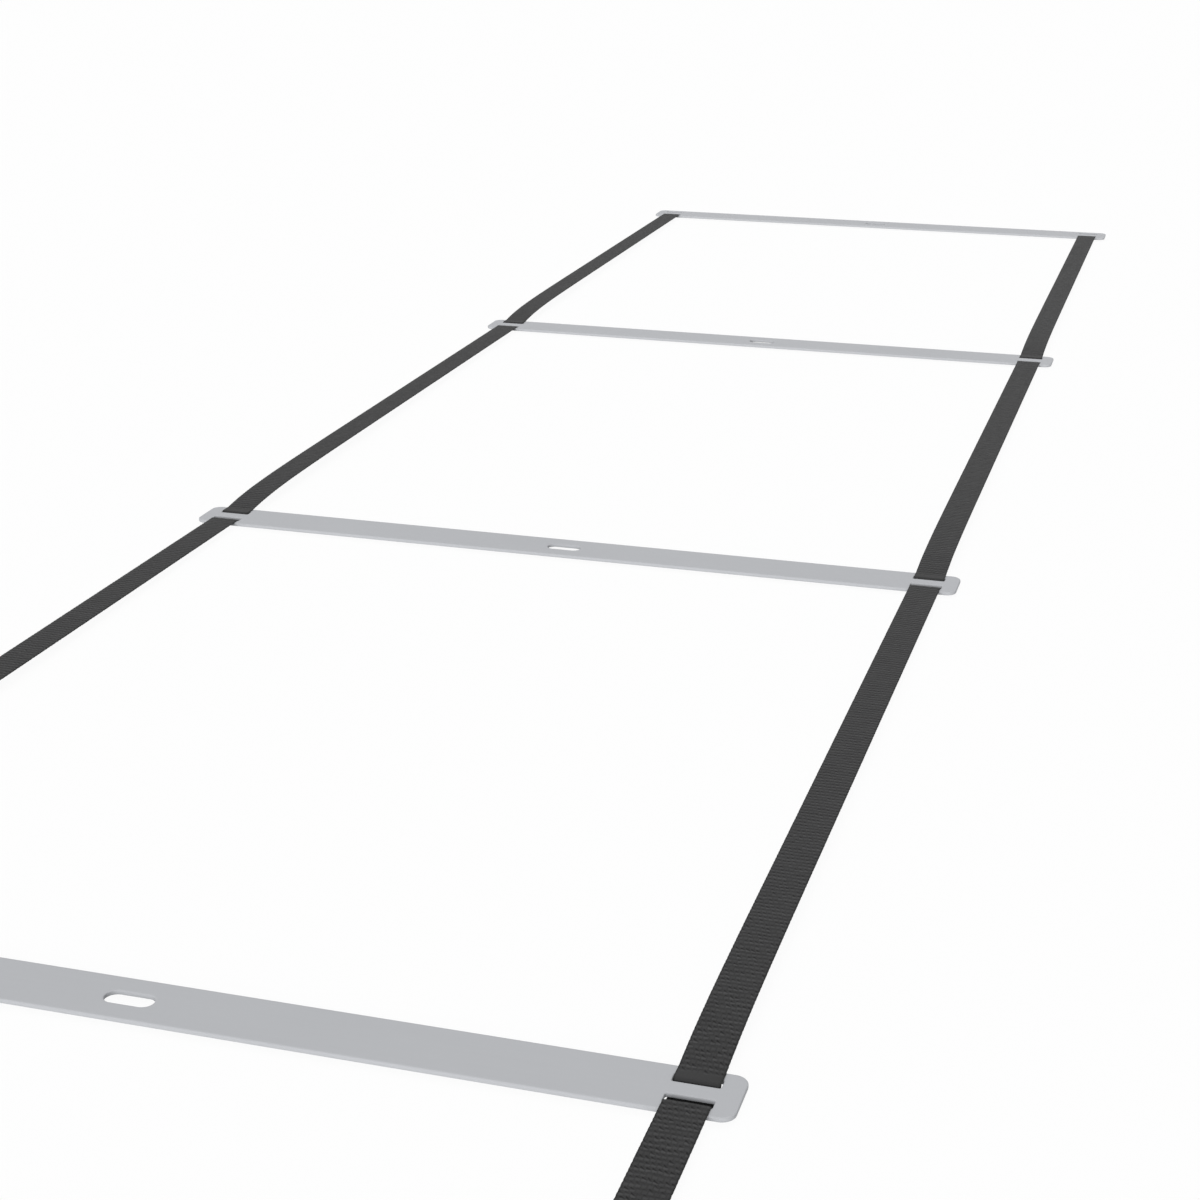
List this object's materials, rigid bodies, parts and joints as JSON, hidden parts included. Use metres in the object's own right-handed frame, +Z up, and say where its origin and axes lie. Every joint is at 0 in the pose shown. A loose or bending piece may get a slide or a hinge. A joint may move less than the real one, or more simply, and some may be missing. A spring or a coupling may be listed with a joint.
{
  "type": "agility ladder",
  "caption": "Agility ladder: flat plastic rungs with rounded ends threaded on two long black webbing straps; every span folds and the inner rungs slide along the straps.",
  "frame": {"origin": "centre of the ladder's outline, on the floor it lies on", "axes": "+Y along the straps towards the far end, which is rung 1; +X along the rungs; +Z up"},
  "size_m": [0.432, 3.5258, 0.0066],
  "materials": {
    "rung_plastic": "pale grey satin",
    "strap_webbing": "black woven webbing"
  },
  "bodies": {
    "section_1": {"rung_1": "rung_plastic", "left_strap_thread_1": "strap_webbing", "right_strap_thread_1": "strap_webbing", "left_strap_near_1": "strap_webbing", "right_strap_near_1": "strap_webbing"},
    "section_2": {"left_strap_far_2": "strap_webbing", "right_strap_far_2": "strap_webbing", "left_strap_near_2": "strap_webbing", "right_strap_near_2": "strap_webbing"},
    "slider_2": {"rung_2": "rung_plastic", "left_strap_thread_2": "strap_webbing", "right_strap_thread_2": "strap_webbing"},
    "section_3": {"left_strap_far_3": "strap_webbing", "right_strap_far_3": "strap_webbing", "left_strap_near_3": "strap_webbing", "right_strap_near_3": "strap_webbing"},
    "slider_3": {"rung_3": "rung_plastic", "left_strap_thread_3": "strap_webbing", "right_strap_thread_3": "strap_webbing"},
    "section_4": {"left_strap_far_4": "strap_webbing", "right_strap_far_4": "strap_webbing", "left_strap_near_4": "strap_webbing", "right_strap_near_4": "strap_webbing"},
    "slider_4": {"rung_4": "rung_plastic", "left_strap_thread_4": "strap_webbing", "right_strap_thread_4": "strap_webbing"},
    "section_5": {"left_strap_far_5": "strap_webbing", "right_strap_far_5": "strap_webbing", "left_strap_near_5": "strap_webbing", "right_strap_near_5": "strap_webbing"},
    "slider_5": {"rung_5": "rung_plastic", "left_strap_thread_5": "strap_webbing", "right_strap_thread_5": "strap_webbing"},
    "section_6": {"left_strap_far_6": "strap_webbing", "right_strap_far_6": "strap_webbing", "left_strap_near_6": "strap_webbing", "right_strap_near_6": "strap_webbing"},
    "slider_6": {"rung_6": "rung_plastic", "left_strap_thread_6": "strap_webbing", "right_strap_thread_6": "strap_webbing"},
    "section_7": {"left_strap_far_7": "strap_webbing", "right_strap_far_7": "strap_webbing", "left_strap_near_7": "strap_webbing", "right_strap_near_7": "strap_webbing"},
    "slider_7": {"rung_7": "rung_plastic", "left_strap_thread_7": "strap_webbing", "right_strap_thread_7": "strap_webbing"},
    "section_8": {"rung_8": "rung_plastic", "left_strap_thread_8": "strap_webbing", "right_strap_thread_8": "strap_webbing", "left_strap_far_8": "strap_webbing", "right_strap_far_8": "strap_webbing"}
  },
  "joints": [
    {"name": "fold_1", "type": "hinge", "parent": "section_1", "child": "section_2", "pos_m": [0, 1.5, 0.0053], "axis": [-1, 0, 0], "range_deg": [-175, 175], "deforming": ["left_strap_near_1", "left_strap_far_2", "right_strap_near_1", "right_strap_far_2"]},
    {"name": "fold_2", "type": "hinge", "parent": "section_2", "child": "section_3", "pos_m": [0, 1, 0.0053], "axis": [1, 0, 0], "range_deg": [-175, 175], "deforming": ["left_strap_near_2", "left_strap_far_3", "right_strap_near_2", "right_strap_far_3"]},
    {"name": "fold_3", "type": "hinge", "parent": "section_3", "child": "section_4", "pos_m": [0, 0.5, 0.0053], "axis": [-1, 0, 0], "range_deg": [-175, 175], "deforming": ["left_strap_near_3", "left_strap_far_4", "right_strap_near_3", "right_strap_far_4"]},
    {"name": "fold_4", "type": "hinge", "parent": "section_4", "child": "section_5", "pos_m": [0, 0, 0.0053], "axis": [1, 0, 0], "range_deg": [-175, 175], "deforming": ["left_strap_near_4", "left_strap_far_5", "right_strap_near_4", "right_strap_far_5"]},
    {"name": "fold_5", "type": "hinge", "parent": "section_5", "child": "section_6", "pos_m": [0, -0.5, 0.0053], "axis": [-1, 0, 0], "range_deg": [-175, 175], "deforming": ["left_strap_near_5", "left_strap_far_6", "right_strap_near_5", "right_strap_far_6"]},
    {"name": "fold_6", "type": "hinge", "parent": "section_6", "child": "section_7", "pos_m": [0, -1, 0.0053], "axis": [1, 0, 0], "range_deg": [-175, 175], "deforming": ["left_strap_near_6", "left_strap_far_7", "right_strap_near_6", "right_strap_far_7"]},
    {"name": "fold_7", "type": "hinge", "parent": "section_7", "child": "section_8", "pos_m": [0, -1.5, 0.0053], "axis": [-1, 0, 0], "range_deg": [-175, 175], "deforming": ["left_strap_near_7", "left_strap_far_8", "right_strap_near_7", "right_strap_far_8"]},
    {"name": "slide_2", "type": "slide", "parent": "section_2", "child": "slider_2", "axis": [0, 1, 0], "range_m": [-0.12, 0.12], "deforming": ["left_strap_far_2", "left_strap_near_2", "right_strap_far_2", "right_strap_near_2"]},
    {"name": "slide_3", "type": "slide", "parent": "section_3", "child": "slider_3", "axis": [0, 1, 0], "range_m": [-0.12, 0.12], "deforming": ["left_strap_far_3", "left_strap_near_3", "right_strap_far_3", "right_strap_near_3"]},
    {"name": "slide_4", "type": "slide", "parent": "section_4", "child": "slider_4", "axis": [0, 1, 0], "range_m": [-0.12, 0.12], "deforming": ["left_strap_far_4", "left_strap_near_4", "right_strap_far_4", "right_strap_near_4"]},
    {"name": "slide_5", "type": "slide", "parent": "section_5", "child": "slider_5", "axis": [0, 1, 0], "range_m": [-0.12, 0.12], "deforming": ["left_strap_far_5", "left_strap_near_5", "right_strap_far_5", "right_strap_near_5"]},
    {"name": "slide_6", "type": "slide", "parent": "section_6", "child": "slider_6", "axis": [0, 1, 0], "range_m": [-0.12, 0.12], "deforming": ["left_strap_far_6", "left_strap_near_6", "right_strap_far_6", "right_strap_near_6"]},
    {"name": "slide_7", "type": "slide", "parent": "section_7", "child": "slider_7", "axis": [0, 1, 0], "range_m": [-0.12, 0.12], "deforming": ["left_strap_far_7", "left_strap_near_7", "right_strap_far_7", "right_strap_near_7"]}
  ]
}
